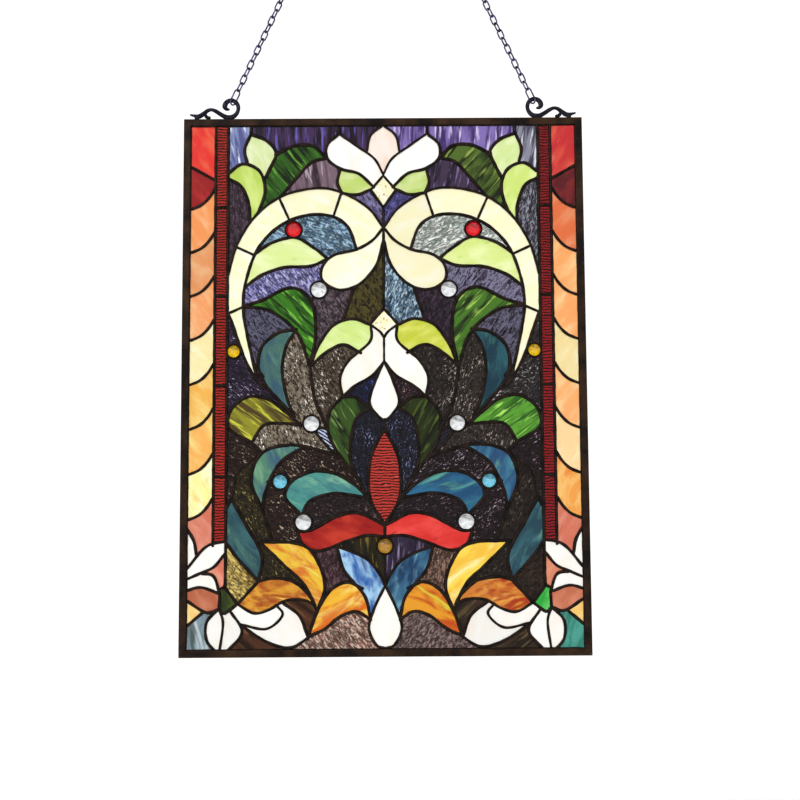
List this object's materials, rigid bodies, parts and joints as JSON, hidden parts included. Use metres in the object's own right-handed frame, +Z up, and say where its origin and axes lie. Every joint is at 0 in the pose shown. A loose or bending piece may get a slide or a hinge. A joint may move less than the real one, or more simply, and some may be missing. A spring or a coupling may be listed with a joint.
{
  "type": "stained glass window panel",
  "caption": "Hanging stained glass window panel: flowers, leaves and scrolls in copper foil, a dark metal channel frame, scroll hooks and a link chain.",
  "frame": {"origin": "underside of the top wire of the ring at the chain's peak, where the hook or nail holds it", "axes": "+Z up the panel, -Y towards the viewer, +X to the viewer's right"},
  "size_m": [0.4572, 0.0107, 1.0118],
  "materials": {
    "amber_column_glass": "streaky opalescent, red at the head to gold and salmon",
    "bronze_channel": "dark brown patina, dull, with worn reddish brown patches",
    "bronze_hook": "cast, dark brown patina",
    "brown_mottled_glass": "dark brown mottle with leaves of straw, teal and amber",
    "clear_flecked_glass": "clear, hammered, with amber flecks",
    "cream_glass": "cream opalescent",
    "dark_green_glass": "near-black green with green streaks",
    "dark_solder": "black patina on raised solder, half shiny",
    "green_glass": "green streaky",
    "jewel_amber": "faceted, clear amber",
    "jewel_blue": "faceted, clear aqua",
    "jewel_clear": "faceted, clear",
    "jewel_red": "faceted, clear red",
    "lime_glass": "lime opalescent",
    "olive_glass": "olive streaky on dark",
    "pale_green_glass": "pale green opalescent, streaked",
    "red_ripple_glass": "red ripple glass with dark level ripples",
    "red_wing_glass": "red streaky opalescent",
    "steel_chain": "dull grey steel, darkened",
    "teal_glass": "teal streaky",
    "violet_mottled_glass": "violet, grey and blue mottle and flecks",
    "white_glass": "white opalescent"
  },
  "bodies": {
    "root": {"arch_leaf_left": "pale_green_glass", "arch_leaf_right": "pale_green_glass", "border_glass_left": "amber_column_glass", "border_glass_right": "amber_column_glass", "centre_petal": "white_glass", "chain": "steel_chain", "curl_petal_left": "cream_glass", "curl_petal_right": "cream_glass", "curled_leaf_left": "teal_glass", "curled_leaf_right": "teal_glass", "dark_leaf_left": "dark_green_glass", "dark_leaf_right": "dark_green_glass", "frame": "bronze_channel", "green_leaf_left": "green_glass", "green_leaf_right": "green_glass", "high_diamond": "clear_flecked_glass", "high_drop": "white_glass", "high_petal_left": "white_glass", "high_petal_right": "white_glass", "hook_left": "bronze_hook", "hook_right": "bronze_hook", "jewel_amber_centre": "jewel_amber", "jewel_amber_left": "jewel_amber", "jewel_amber_right": "jewel_amber", "jewel_blue_left": "jewel_blue", "jewel_blue_right": "jewel_blue", "jewel_clear_high_left": "jewel_clear", "jewel_clear_high_right": "jewel_clear", "jewel_clear_low_left": "jewel_clear", "jewel_clear_low_right": "jewel_clear", "jewel_clear_mid_left": "jewel_clear", "jewel_clear_mid_right": "jewel_clear", "jewel_red_left": "jewel_red", "jewel_red_right": "jewel_red", "lime_leaf_left": "lime_glass", "lime_leaf_right": "lime_glass", "low_diamond": "clear_flecked_glass", "low_drop": "white_glass", "low_petal_left": "white_glass", "low_petal_right": "white_glass", "lower_ground": "brown_mottled_glass", "olive_leaf_left": "olive_glass", "olive_leaf_right": "olive_glass", "red_heart": "red_ripple_glass", "red_strip_left": "red_ripple_glass", "red_strip_right": "red_ripple_glass", "red_wing_left": "red_wing_glass", "red_wing_right": "red_wing_glass", "scroll_leaf_left": "teal_glass", "scroll_leaf_right": "teal_glass", "solder_lines": "dark_solder", "teal_leaf_left": "teal_glass", "teal_leaf_right": "teal_glass", "top_ground_left": "violet_mottled_glass", "top_ground_right": "violet_mottled_glass", "top_leaves_left": "pale_green_glass", "top_leaves_right": "pale_green_glass", "upper_ground": "violet_mottled_glass", "white_arch_left": "cream_glass", "white_arch_right": "cream_glass"}
  },
  "joints": []
}
